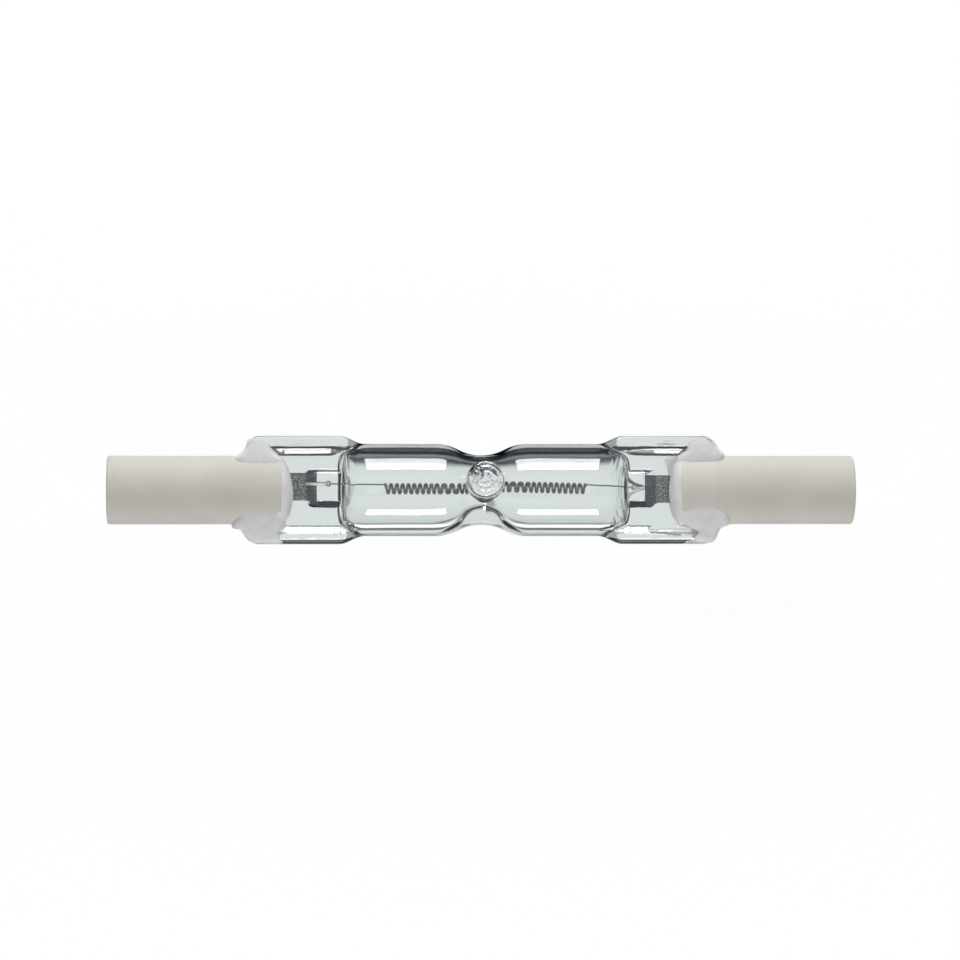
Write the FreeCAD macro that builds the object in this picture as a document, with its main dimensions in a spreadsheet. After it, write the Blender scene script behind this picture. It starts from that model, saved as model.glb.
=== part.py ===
import FreeCAD, Part
import math
import os

import Sketcher
from FreeCAD import Placement, Rotation, Vector

# A double-ended linear halogen bulb with a waisted quartz envelope. The lamp's axis is X, the
# pinch seals lie flat in the XY plane, the exhaust tip points up, and the origin is the middle
# of the axis. Lengths are in millimetres and angles in degrees.
SIZES = {
    # Whole lamp, over the outer ends of its two bases
    "lamp_length": 78.3,
    # Quartz tube with its two chambers and the waist between them
    "tube_diameter": 9.7,
    "tube_wall": 1.15,
    "waist_diameter": 7.3,
    "waist_bore": 3.2,
    "waist_length": 9.6,
    # Pinch seal: an I-shaped bar with a thin web between two thick rails
    "pinch_width": 11.4,
    "pinch_length": 8.95,
    "rail_thickness": 3.4,
    "rail_edge_radius": 0.65,
    "web_thickness": 2.4,
    "web_width": 7.0,
    "rail_slope": 0.9,
    # Shoulder where the tube runs down into the pinch, and the fins beside it
    "shoulder_length": 2.4,
    "jaw_step": 0.15,
    "fin_setback": 0.7,
    "flare_length": 3.2,
    "fin_thickness": 2.0,
    "fin_root": 0.1,
    # Raised channel over the inner lead
    "boss_width": 4.0,
    "boss_length": 1.9,
    "boss_ramp": 1.1,
    # Wedge-shaped ends of the hollow, and the pockets where the leads come in
    "cavity_end_wall": 0.9,
    "cavity_end_height": 1.2,
    "lead_pocket_diameter": 0.9,
    "lead_pocket_length": 1.6,
    # Exhaust tip, melted shut, which leans over from the upright
    "tip_diameter": 4.0,
    "tip_stub": 0.9,
    "tip_dome": 1.0,
    "tip_bore": 1.8,
    "tip_bore_end": 0.5,
    "tip_lean": 11.0,
    "tip_offset": 0.25,
    # Seal foil and the leads that are welded to it
    "foil_width": 2.9,
    "foil_length": 5.4,
    "foil_thickness": 0.05,
    "foil_feather": 0.4,
    "foil_setback": 1.8,
    "weld_length": 1.2,
    "weld_flat": 0.1,
    "inner_lead_diameter": 0.4,
    "inner_lead_setback": 0.4,
    "bead_length": 0.5,
    "bead_rise": 0.13,
    "outer_lead_diameter": 0.7,
    "left_lead_offset": 0.65,
    "right_lead_offset": 0.25,
    "left_foil_offset": 0.35,
    "right_foil_offset": 0.1,
    # Filament: two coils with a straight link between them
    "coil_diameter": 1.34,
    "coil_wire": 0.3,
    "coil_pitch": 0.61,
    "coil_turns": 14,
    "link_length": 4.0,
    "leg_diameter": 0.26,
    "leg_bend": 0.15,
    "filament_offset": 0.18,
    # Ceramic base
    "base_length": 18.2,
    "base_diameter": 7.2,
    "base_edge_radius": 0.2,
    "barrel_length": 12.4,
    "cheek_draft": 0.05,
    "pinch_engagement": 3.4,
    "cement_gap": 0.25,
    "lead_bore": 1.1,
    # Contact button and its seat
    "contact_recess_diameter": 4.0,
    "contact_recess_depth": 1.7,
    "contact_diameter": 3.4,
    "contact_rim": 0.9,
    "contact_dome": 0.4,
    "shank_diameter": 1.6,
    "shank_length": 3.0,
    "lead_socket_depth": 2.0,
    "contact_clearance": 0.05,
    # Cement: a collar at the base's mouth and a lump beside the base on each edge of the pinch
    "collar_bulge": 1.3,
    "collar_width": 6.6,
    "upper_lump_diameter": 3.9,
    "lower_lump_diameter": 4.6,
    "lump_edge_margin": 0.1,
    "lump_overhang": 1.95,
}

# Each end's sign along X, and the face of its lead that the foil lies against
SIDES = {"left": -1, "right": 1}
FOIL_FACE = {"left": -1, "right": 1}
BOTH_FACES = (1, -1)

# How a run of an outline turns, and Sketcher's numbers for the origin and the points of a run
TURN_LEFT, TURN_RIGHT = 1, -1
ORIGIN_ID, START_ID, FINISH_ID, CENTRE_ID = -1, 1, 2, 3

# The filament's helix in straight facets, and the sides of its wire
FACETS_PER_TURN = 10
WIRE_SIDES = 6

# How far a cutting shape runs past the material that it cuts
OVERRUN = "0.5"

# Stations along the axis, as distances from the lamp's middle
BASE_END = "(sizes.lamp_length / 2)"
MOUTH = f"({BASE_END} - sizes.base_length)"
BARREL_START = f"({BASE_END} - sizes.base_edge_radius - sizes.barrel_length)"
PINCH_END = f"({MOUTH} + sizes.pinch_engagement)"
SLOT_END = f"({PINCH_END} + sizes.cement_gap)"
JAW = f"({PINCH_END} - sizes.pinch_length)"
SHOULDER = f"({JAW} - sizes.shoulder_length)"
FIN_END = f"({JAW} - sizes.fin_setback)"
FIN_START = f"({FIN_END} - sizes.flare_length)"
BOSS_END = f"({JAW} + sizes.boss_length)"
BOSS_FOOT = f"({BOSS_END} + sizes.boss_ramp)"
CAVITY_END = f"({JAW} - sizes.cavity_end_wall)"
CAVITY_SHOULDER = f"({SHOULDER} - sizes.cavity_end_wall)"
POCKET_END = f"({CAVITY_END} + sizes.lead_pocket_length)"
INNER_LEAD_TIP = f"({JAW} + sizes.inner_lead_setback)"
FOIL_START = f"({JAW} + sizes.foil_setback)"
FOIL_END = f"({FOIL_START} + sizes.foil_length)"
INNER_LEAD_END = f"({FOIL_START} + sizes.weld_length)"
OUTER_LEAD_START = f"({FOIL_END} - sizes.weld_length)"
COIL_START = "(sizes.link_length / 2)"
COIL_END = f"({COIL_START} + sizes.coil_pitch * sizes.coil_turns)"
CONTACT_APEX = f"({BASE_END} - sizes.contact_recess_depth)"
CONTACT_RIM = f"({CONTACT_APEX} - sizes.contact_dome)"
CONTACT_SEAT = f"({CONTACT_RIM} - sizes.contact_rim)"
SHANK_END = f"({CONTACT_SEAT} - sizes.shank_length)"
LEAD_SOCKET_END = f"({SHANK_END} + sizes.lead_socket_depth)"

# Radii and half thicknesses
TUBE = "(sizes.tube_diameter / 2)"
TUBE_BORE = f"({TUBE} - sizes.tube_wall)"
WAIST = "(sizes.waist_diameter / 2)"
WAIST_BORE = "(sizes.waist_bore / 2)"
PINCH = "(sizes.pinch_width / 2)"
RAIL = "(sizes.rail_thickness / 2)"
WEB = "(sizes.web_thickness / 2)"
BASE = "(sizes.base_diameter / 2)"
CHEEK = f"({BASE} - sizes.cheek_draft)"
SLOT = f"({WEB} + sizes.cement_gap)"
COIL = "((sizes.coil_diameter - sizes.coil_wire) / 2)"
CREST = f"(sizes.filament_offset + {COIL})"
LEG = "(sizes.leg_diameter / 2)"
TIP_RIM = f"({WAIST} + sizes.tip_stub)"
TIP_TOP = f"({TIP_RIM} + sizes.tip_dome)"

doc = FreeCAD.newDocument("linear_halogen_bulb")
sheet = doc.addObject("Spreadsheet::Sheet", "sizes")
for row, (alias, size) in enumerate(SIZES.items(), start=1):
    sheet.set(f"A{row}", alias)
    sheet.set(f"B{row}", str(size))
    sheet.setAlias(f"B{row}", alias)
doc.recompute()


def value(expression):
    """The number that an expression on the sheet gives now."""
    return float(sheet.evalExpression(expression))


def cap_radius(rise, half_width):
    """Radius of the arc that rises this much over this half width, as an expression."""
    return f"(({half_width})^2 + ({rise})^2) / (2 * ({rise}))"


# Sketches and features


def new_body(label):
    """An empty body with its label."""
    body = doc.addObject("PartDesign::Body", label)
    body.Label = label
    return body


def new_sketch(body, name, role, offset=None):
    """A sketch on one of the body's own planes, moved along the plane's normal."""
    planes = {feature.Role: feature for feature in body.Origin.OriginFeatures}
    sketch = body.newObject("Sketcher::SketchObject", name)
    sketch.AttachmentSupport = [(planes[role], "")]
    sketch.MapMode = "FlatFace"
    if offset:
        sketch.setExpression("AttachmentOffset.Base.z", offset)
    return sketch


def bind(sketch, expression, *constraint):
    """Add a constraint whose size follows an expression."""
    index = sketch.addConstraint(Sketcher.Constraint(*constraint, value(expression)))
    sketch.setExpression(f"Constraints[{index}]", expression)


def bind_point(sketch, geometry, end, x, y):
    """Hold a point of the sketch at its distances from the origin."""
    bind(sketch, x, "DistanceX", ORIGIN_ID, START_ID, geometry, end)
    bind(sketch, y, "DistanceY", ORIGIN_ID, START_ID, geometry, end)


def arc_between(start, end, radius, turn):
    """The shorter arc from one point to another, as a counterclockwise curve."""
    chord = end - start
    rise = math.sqrt(max(0.0, radius**2 - (chord.Length / 2) ** 2))
    leftward = Vector(-chord.y, chord.x, 0).normalize()
    centre = (start + end) / 2 + leftward * rise * turn
    first, last = (start, end) if turn == TURN_LEFT else (end, start)
    angles = [math.atan2(point.y - centre.y, point.x - centre.x) for point in (first, last)]
    return Part.ArcOfCircle(Part.Circle(centre, Vector(0, 0, 1), radius), *angles)


def outline(sketch, corners):
    """Draw a closed outline. A corner is its x and y, and a radius and turn where an arc leaves it."""
    points = [Vector(value(corner[0]), value(corner[1]), 0) for corner in corners]
    runs = []
    for corner, start, end in zip(corners, points, points[1:] + points[:1]):
        if len(corner) == 2:
            geometry = sketch.addGeometry(Part.LineSegment(start, end))
            runs.append((geometry, START_ID, FINISH_ID))
            continue
        radius, turn = corner[2:]
        geometry = sketch.addGeometry(arc_between(start, end, value(radius), turn))
        ends = (START_ID, FINISH_ID) if turn == TURN_LEFT else (FINISH_ID, START_ID)
        bind(sketch, radius, "Radius", geometry)
        runs.append((geometry, *ends))
    for run, following in zip(runs, runs[1:] + runs[:1]):
        sketch.addConstraint(
            Sketcher.Constraint("Coincident", run[0], run[2], following[0], following[1])
        )
    for corner, run in zip(corners, runs):
        bind_point(sketch, run[0], run[1], corner[0], corner[1])


def circle(sketch, x, y, radius):
    """Draw a circle round a point of the sketch."""
    centre = Vector(value(x), value(y), 0)
    geometry = sketch.addGeometry(Part.Circle(centre, Vector(0, 0, 1), value(radius)))
    bind_point(sketch, geometry, CENTRE_ID, x, y)
    bind(sketch, radius, "Radius", geometry)


def revolve(body, sketch, axis="H_Axis"):
    """Turn a half section round one of its sketch's axes."""
    feature = body.newObject("PartDesign::Revolution", f"{sketch.Name}_turned")
    feature.Profile = sketch
    feature.ReferenceAxis = (sketch, [axis])
    feature.Angle = 360
    return feature


def pad(body, sketch, length, symmetric=False, backward=False):
    """Raise a sketch by a length, to one side or evenly to both."""
    feature = body.newObject("PartDesign::Pad", f"{sketch.Name}_raised")
    feature.Profile = sketch
    feature.SideType = "Symmetric" if symmetric else "One side"
    feature.Reversed = backward
    feature.setExpression("Length", length)
    return feature


def cut_through(body, sketch):
    """Cut a sketch through the whole body, to both sides of its plane."""
    feature = body.newObject("PartDesign::Pocket", f"{sketch.Name}_cut")
    feature.Profile = sketch
    feature.SideType = "Symmetric"
    feature.Type = "ThroughAll"
    return feature


def boolean(kind, label, *shapes):
    """A Part boolean: Cut takes a base and a tool, and MultiFuse takes any number of shapes."""
    feature = doc.addObject(f"Part::{kind}", label)
    feature.Label = label
    if kind == "Cut":
        feature.Base, feature.Tool = shapes
    else:
        feature.Shapes = list(shapes)
    return feature


def rod_along_x(label, diameter, sign, start, end, y):
    """A plain round rod on the given side, between two distances from the middle."""
    rod = doc.addObject("Part::Cylinder", label)
    rod.Placement = Placement(Vector(), Rotation(Vector(0, 1, 0), 90))
    rod.setExpression("Radius", f"{diameter} / 2")
    rod.setExpression("Height", f"{end} - {start}")
    rod.setExpression("Placement.Base.x", start if sign > 0 else f"-1 * {end}")
    rod.setExpression("Placement.Base.y", y)
    return rod


# Quartz envelope


def waisted_section(radius, waist, end):
    """Half section of a round tube that narrows to a waist in two equal arcs on each side."""
    half = "(sizes.waist_length / 2)"
    drop = f"({radius} - {waist})"
    middle = f"(({radius} + {waist}) / 2)"
    bend = f"(({half})^2 + {drop}^2) / (4 * {drop})"
    return [
        (f"-1 * {end}", "0"),
        (f"-1 * {end}", radius),
        (f"-1 * {half}", radius, bend, TURN_RIGHT),
        (f"-1 * {half} / 2", middle, bend, TURN_LEFT),
        (f"{half} / 2", middle, bend, TURN_RIGHT),
        (half, radius),
        (end, radius),
        (end, "0"),
    ]


def cut_wedges(body, name, high_x, high_z, low_x, low_z):
    """Slope both faces of both ends of a tube down from one station and height to another."""
    sketch = new_sketch(body, name, "XZ_Plane")
    top_x = f"({high_x} - ({low_x} - {high_x}) / 2)"
    top_z = f"({high_z} + ({high_z} - {low_z}) / 2)"
    far_x = f"({low_x} + {OVERRUN})"
    for sign in SIDES.values():
        for face in BOTH_FACES:
            corners = [(top_x, top_z), (far_x, top_z), (far_x, low_z), (low_x, low_z)]
            outline(sketch, [(f"{sign} * {x}", f"{face} * {z}") for x, z in corners])
    cut_through(body, sketch)


def pinch_section():
    """Corners of the pinch's I-shaped section, across and up, counterclockwise."""
    side = f"({RAIL} - sizes.rail_edge_radius)"
    top = f"({PINCH} - sizes.rail_edge_radius)"
    web_edge = "(sizes.web_width / 2)"
    rail_edge = f"({web_edge} + sizes.rail_slope)"
    round_edge = ("sizes.rail_edge_radius", TURN_LEFT)
    return [
        (PINCH, f"-1 * {side}"),
        (PINCH, side, *round_edge),
        (top, RAIL),
        (rail_edge, RAIL),
        (web_edge, WEB),
        (f"-1 * {web_edge}", WEB),
        (f"-1 * {rail_edge}", RAIL),
        (f"-1 * {top}", RAIL, *round_edge),
        (f"-1 * {PINCH}", side),
        (f"-1 * {PINCH}", f"-1 * {side}", *round_edge),
        (f"-1 * {top}", f"-1 * {RAIL}"),
        (f"-1 * {rail_edge}", f"-1 * {RAIL}"),
        (f"-1 * {web_edge}", f"-1 * {WEB}"),
        (web_edge, f"-1 * {WEB}"),
        (rail_edge, f"-1 * {RAIL}"),
        (top, f"-1 * {RAIL}", *round_edge),
    ]


def make_blank():
    """The envelope's outside without its tip: tube, shoulders, fins, pinches and lead channels."""
    body = new_body("quartz_blank")
    tube = new_sketch(body, "tube_outline", "XY_Plane")
    outline(tube, waisted_section(TUBE, WAIST, JAW))
    revolve(body, tube)
    cut_wedges(body, "shoulders", SHOULDER, TUBE, JAW, f"({RAIL} + sizes.jaw_step)")
    for side, sign in SIDES.items():
        section = new_sketch(body, f"pinch_{side}", "YZ_Plane", f"{sign} * {FIN_END}")
        outline(section, pinch_section())
        pad(body, section, f"{PINCH_END} - {FIN_END}", backward=sign < 0)
    fins = new_sketch(body, "fins", "XY_Plane")
    fin_root = f"(sqrt({TUBE}^2 - (sizes.fin_thickness / 2)^2) - sizes.fin_root)"
    fin_tail = f"({FIN_END} + {OVERRUN})"
    for sign in SIDES.values():
        corners = [
            (FIN_START, fin_root),
            (FIN_END, PINCH),
            (fin_tail, PINCH),
            (fin_tail, f"-1 * {PINCH}"),
            (FIN_END, f"-1 * {PINCH}"),
            (FIN_START, f"-1 * {fin_root}"),
        ]
        outline(fins, [(f"{sign} * {x}", y) for x, y in corners])
    pad(body, fins, "sizes.fin_thickness", symmetric=True)
    bosses = new_sketch(body, "lead_channels", "XZ_Plane")
    for sign in SIDES.values():
        corners = [
            (FIN_END, RAIL),
            (BOSS_END, RAIL),
            (BOSS_FOOT, WEB),
            (BOSS_FOOT, f"-1 * {WEB}"),
            (BOSS_END, f"-1 * {RAIL}"),
            (FIN_END, f"-1 * {RAIL}"),
        ]
        outline(bosses, [(f"{sign} * {x}", z) for x, z in corners])
    pad(body, bosses, "sizes.boss_width", symmetric=True)
    return body


def make_cavity():
    """The hollow of the two chambers and the waist between them, with wedge-shaped ends."""
    body = new_body("cavity")
    hollow = new_sketch(body, "hollow_outline", "XY_Plane")
    outline(hollow, waisted_section(TUBE_BORE, WAIST_BORE, CAVITY_END))
    revolve(body, hollow)
    end_height = "(sizes.cavity_end_height / 2)"
    cut_wedges(body, "hollow_ends", CAVITY_SHOULDER, TUBE_BORE, CAVITY_END, end_height)
    return body


def make_tip():
    """The exhaust tip: a stub of tube melted to a dome, set over by its lean."""
    body = new_body("exhaust_tip")
    section = new_sketch(body, "tip_section", "XZ_Plane")
    radius = "(sizes.tip_diameter / 2)"
    dome = cap_radius("sizes.tip_dome", radius)
    corners = [("0", "0"), (radius, "0"), (radius, TIP_RIM, dome, TURN_LEFT), ("0", TIP_TOP)]
    outline(section, corners)
    revolve(body, section, "V_Axis")
    lean_over(body)
    return body


def make_tip_bore():
    """The tapering hole in the exhaust tip, closed where the glass was melted shut."""
    bore = doc.addObject("Part::Cone", "exhaust_bore")
    bore.setExpression("Radius1", "sizes.tip_bore / 2")
    bore.setExpression("Radius2", "sizes.tip_bore_end / 2")
    bore.setExpression("Height", TIP_RIM)
    lean_over(bore)
    return bore


def lean_over(piece):
    """Turn an upright piece about the lamp's axis by the tip's lean, and set it along the axis."""
    piece.Placement = Placement(Vector(), Rotation(Vector(-1, 0, 0), SIZES["tip_lean"]))
    piece.setExpression("Placement.Rotation.Angle", "sizes.tip_lean")
    piece.setExpression("Placement.Base.x", "sizes.tip_offset")


# Seal foils, leads and filament


def lead_offset(side):
    """How far a side's leads lie from the lamp's axis across the pinch."""
    return f"sizes.{side}_lead_offset"


def make_foil(side):
    """A thin seal foil with feathered edges, against one face of its leads."""
    sign, face = SIDES[side], FOIL_FACE[side]
    body = new_body(f"foil_{side}")
    half, thin = "(sizes.foil_width / 2)", "(sizes.foil_thickness / 2)"
    middle = f"{face} * (sizes.weld_flat + {thin})"
    flat = f"({half} - sizes.foil_feather)"
    corners = [(half, "0"), (flat, thin), (f"-1 * {flat}", thin)]
    corners += [(f"-1 * {half}", "0"), (f"-1 * {flat}", f"-1 * {thin}"), (flat, f"-1 * {thin}")]
    section = new_sketch(body, f"foil_section_{side}", "YZ_Plane", f"{sign} * {FOIL_START}")
    outline(section, [(y, f"{middle} + {z}") for y, z in corners])
    pad(body, section, "sizes.foil_length", backward=sign < 0)
    body.setExpression("Placement.Base.y", f"sizes.{side}_foil_offset")
    return body


def flatten_weld(body, side, start, end, radius):
    """Cut the flat that a lead has where it is welded to the foil."""
    sign, face = SIDES[side], FOIL_FACE[side]
    deep = f"({radius} + {OVERRUN})"
    corners = [(start, "sizes.weld_flat"), (end, "sizes.weld_flat"), (end, deep), (start, deep)]
    sketch = new_sketch(body, f"{body.Name}_weld", "XZ_Plane")
    outline(sketch, [(f"{sign} * {x}", f"{face} * {z}") for x, z in corners])
    cut_through(body, sketch)


def make_inner_lead(side):
    """The wire from the foil to the filament's leg, with a rounded weld bead at the leg."""
    sign = SIDES[side]
    body = new_body(f"inner_lead_{side}")
    radius = "(sizes.inner_lead_diameter / 2)"
    bead_end = f"({INNER_LEAD_TIP} + sizes.bead_length)"
    bead_round = cap_radius("sizes.bead_rise", "sizes.bead_length / 2")
    section = new_sketch(body, f"inner_lead_section_{side}", "XY_Plane")
    outline(
        section,
        [
            (f"{sign} * {INNER_LEAD_TIP}", "0"),
            (f"{sign} * {INNER_LEAD_TIP}", radius, bead_round, TURN_RIGHT * sign),
            (f"{sign} * {bead_end}", radius),
            (f"{sign} * {INNER_LEAD_END}", radius),
            (f"{sign} * {INNER_LEAD_END}", "0"),
        ],
    )
    revolve(body, section)
    flatten_weld(body, side, FOIL_START, f"({INNER_LEAD_END} + {OVERRUN})", radius)
    body.setExpression("Placement.Base.y", lead_offset(side))
    return body


def make_outer_lead(side):
    """The wire from the foil out through the base, into the contact's socket."""
    sign = SIDES[side]
    body = new_body(f"outer_lead_{side}")
    radius = "(sizes.outer_lead_diameter / 2)"
    section = new_sketch(body, f"outer_lead_section_{side}", "YZ_Plane", f"{sign} * {OUTER_LEAD_START}")
    circle(section, "0", "0", radius)
    pad(body, section, f"{LEAD_SOCKET_END} - {OUTER_LEAD_START}", backward=sign < 0)
    flatten_weld(body, side, f"({OUTER_LEAD_START} - {OVERRUN})", FOIL_END, radius)
    return body


def half_filament_path(side):
    """Points of one half of the filament, outward from the link, each with its half thickness.

    The coil is a helix about X that starts and ends at the top of its circle, level with the link.
    """
    sign = SIDES[side]
    coil, leg, bend = value(COIL), value(LEG), value("sizes.leg_bend")
    axis, crest = value("sizes.filament_offset"), value(CREST)
    wire, pitch = value("sizes.coil_wire") / 2, value("sizes.coil_pitch")
    start, end, tip = value(COIL_START), value(COIL_END), value(INNER_LEAD_TIP)
    path = [(Vector(sign * (start - bend), crest, 0), leg)]
    for step in range(1, round(value("sizes.coil_turns")) * FACETS_PER_TURN):
        turns = step / FACETS_PER_TURN
        angle = 2 * math.pi * turns
        x = sign * (start + pitch * turns)
        path.append((Vector(x, axis + coil * math.cos(angle), sign * coil * math.sin(angle)), wire))
    path.append((Vector(sign * (end + bend), crest, 0), leg))
    path.append((Vector(sign * tip, value(lead_offset(side)), 0), leg))
    return path


def wire_section(point, tangent, radius):
    """A regular outline round a point of the wire, square to the wire's direction there."""
    coiled = Vector(0, point.y - value("sizes.filament_offset"), point.z)
    outward = coiled if radius > value(LEG) else Vector(0, 1, 0)
    across = tangent.cross(outward).normalize()
    up = across.cross(tangent).normalize()
    angles = [2 * math.pi * side / WIRE_SIDES for side in range(WIRE_SIDES)]
    corners = [point + (up * math.cos(a) + across * math.sin(a)) * radius for a in angles]
    return Part.makePolygon(corners + corners[:1])


def make_filament():
    """One wire: two coils, the straight link through the waist, and a leg to each inner lead."""
    path = half_filament_path("left")[::-1] + half_filament_path("right")
    points = [point for point, _ in path]
    tangents = [Vector(1, 0, 0)]
    for before, here, after in zip(points, points[1:], points[2:]):
        tangents.append((here - before).normalize() + (after - here).normalize())
    tangents.append(Vector(1, 0, 0))
    sections = [
        wire_section(point, tangent.normalize(), radius)
        for (point, radius), tangent in zip(path, tangents)
    ]
    filament = doc.addObject("Part::Feature", "filament")
    filament.Shape = Part.makeLoft(sections, True, True)
    filament.Placement = Placement()
    return filament


# Ceramic bases, contacts and cement


def make_base(side):
    """A slotted ceramic barrel: contact recess and seat, lead bore, and cheeks over the pinch."""
    sign = SIDES[side]
    body = new_body(f"ceramic_base_{side}")
    rounding = "sizes.base_edge_radius"
    recess = "(sizes.contact_recess_diameter / 2)"
    seat = "(sizes.contact_diameter / 2 + sizes.contact_clearance)"
    shank = "(sizes.shank_diameter / 2 + sizes.contact_clearance)"
    shank_floor = f"({SHANK_END} - sizes.contact_clearance)"
    bore = "(sizes.lead_bore / 2)"
    corners = [
        (MOUTH, bore),
        (MOUTH, CHEEK),
        (BARREL_START, BASE),
        (f"({BASE_END} - {rounding})", BASE, rounding, TURN_RIGHT * sign),
        (BASE_END, f"({BASE} - {rounding})"),
        (BASE_END, recess),
        (CONTACT_APEX, recess),
        (CONTACT_APEX, seat),
        (CONTACT_SEAT, seat),
        (CONTACT_SEAT, shank),
        (shank_floor, shank),
        (shank_floor, bore),
    ]
    section = new_sketch(body, f"base_section_{side}", "XY_Plane")
    outline(section, [(f"{sign} * {corner[0]}", *corner[1:]) for corner in corners])
    revolve(body, section)
    slot = new_sketch(body, f"base_slot_{side}", "XZ_Plane")
    mouth = f"({MOUTH} - {OVERRUN})"
    corners = [(mouth, SLOT), (SLOT_END, SLOT), (SLOT_END, f"-1 * {SLOT}"), (mouth, f"-1 * {SLOT}")]
    outline(slot, [(f"{sign} * {x}", z) for x, z in corners])
    cut_through(body, slot)
    return body


def make_contact(side):
    """A turned contact button with a domed face and a hollow shank for the lead."""
    sign = SIDES[side]
    body = new_body(f"contact_{side}")
    head, shank = "(sizes.contact_diameter / 2)", "(sizes.shank_diameter / 2)"
    socket = "(sizes.outer_lead_diameter / 2)"
    dome = cap_radius("sizes.contact_dome", head)
    corners = [
        (SHANK_END, socket),
        (SHANK_END, shank),
        (CONTACT_SEAT, shank),
        (CONTACT_SEAT, head),
        (CONTACT_RIM, head, dome, TURN_RIGHT * sign),
        (CONTACT_APEX, "0"),
        (LEAD_SOCKET_END, "0"),
        (LEAD_SOCKET_END, socket),
    ]
    section = new_sketch(body, f"contact_section_{side}", "XY_Plane")
    outline(section, [(f"{sign} * {corner[0]}", *corner[1:]) for corner in corners])
    revolve(body, section)
    return body


def make_collar(side):
    """The domed collar of cement at a base's mouth, over the faces of the pinch."""
    sign = SIDES[side]
    body = new_body(f"collar_{side}")
    half = "(sizes.collar_width / 2)"
    dome = cap_radius("sizes.collar_bulge", half)
    apex, back = f"({MOUTH} - sizes.collar_bulge)", f"({MOUTH} + {OVERRUN})"
    section = new_sketch(body, f"collar_section_{side}", "XY_Plane")
    outline(
        section,
        [
            (f"{sign} * {apex}", "0", dome, TURN_RIGHT * sign),
            (f"{sign} * {MOUTH}", half),
            (f"{sign} * {back}", half),
            (f"{sign} * {back}", "0"),
        ],
    )
    revolve(body, section)
    return body


def make_lump(side, edge, toward):
    """A round lump of cement in the corner between a base and one edge of its pinch."""
    radius = f"(sizes.{edge}_lump_diameter / 2)"
    centre_x = f"({PINCH_END} + sizes.lump_overhang - {radius})"
    centre_y = f"({PINCH} - sizes.lump_edge_margin - {radius})"
    lump = doc.addObject("Part::Sphere", f"{edge}_lump_{side}")
    lump.setExpression("Radius", radius)
    lump.setExpression("Placement.Base.x", f"{SIDES[side]} * {centre_x}")
    lump.setExpression("Placement.Base.y", f"{toward} * {centre_y}")
    return lump


def make_cement(side, base, blank, lead):
    """The cement between a base and its pinch: slot filling, collar and a lump on each edge."""
    filling = doc.addObject("Part::Box", f"slot_filling_{side}")
    filling.setExpression("Length", f"{SLOT_END} - {MOUTH}")
    filling.setExpression("Width", "sizes.collar_width")
    filling.setExpression("Height", f"2 * {SLOT}")
    filling.setExpression("Placement.Base.x", MOUTH if SIDES[side] > 0 else f"-1 * {SLOT_END}")
    filling.setExpression("Placement.Base.y", "-1 * sizes.collar_width / 2")
    filling.setExpression("Placement.Base.z", f"-1 * {SLOT}")
    lumps = [make_lump(side, "upper", 1), make_lump(side, "lower", -1)]
    whole = boolean("MultiFuse", f"cement_blank_{side}", filling, make_collar(side), *lumps)
    neighbours = boolean("MultiFuse", f"cement_neighbours_{side}", base, blank, lead)
    return boolean("Cut", f"cement_{side}", whole, neighbours)


# Assembly

blank = make_blank()
filament = make_filament()
hollows = [make_cavity(), make_tip_bore()]
pieces = [filament]
for side, sign in SIDES.items():
    foil = make_foil(side)
    inner_lead = make_inner_lead(side)
    outer_lead = make_outer_lead(side)
    base = make_base(side)
    pocket = rod_along_x(
        f"lead_pocket_{side}",
        "sizes.lead_pocket_diameter",
        sign,
        f"({CAVITY_END} - {OVERRUN})",
        POCKET_END,
        lead_offset(side),
    )
    hollows += [pocket, foil, inner_lead, outer_lead]
    pieces += [foil, inner_lead, outer_lead, base, make_contact(side)]
    pieces.append(make_cement(side, base, blank, outer_lead))
outside = boolean("MultiFuse", "quartz_outside", blank, make_tip())
inside = boolean("MultiFuse", "quartz_inside", *hollows)
pieces.append(boolean("Cut", "quartz_envelope", outside, inside))
doc.recompute()

for feature in doc.Objects:
    if "Invalid" in feature.State or "Error" in feature.State:
        raise RuntimeError(f"{feature.Label} failed: {feature.State}")
for piece in pieces:
    if piece.Shape.isNull() or not piece.Shape.isValid():
        raise RuntimeError(f"{piece.Label} has no valid shape")
    if len(piece.Shape.Solids) != 1:
        raise RuntimeError(f"{piece.Label} has {len(piece.Shape.Solids)} solids")

os.makedirs("parts", exist_ok=True)
for piece in pieces:
    piece.Shape.exportStep(os.path.join("parts", f"{piece.Label}.step"))
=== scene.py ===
"""Looks of a double-ended linear halogen bulb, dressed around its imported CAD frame.

Sizes in the classes are millimetres and angles are degrees; a mesh is scaled to metres when it is
finished. The lamp's axis is X, its pinch seals lie in the XY plane and its exhaust tip points up.
"""

import enum
import logging
import math
from dataclasses import dataclass
from typing import Any, Mapping, Sequence

import bmesh
import bpy
import numpy as np
from mathutils import Matrix, Vector


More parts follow.
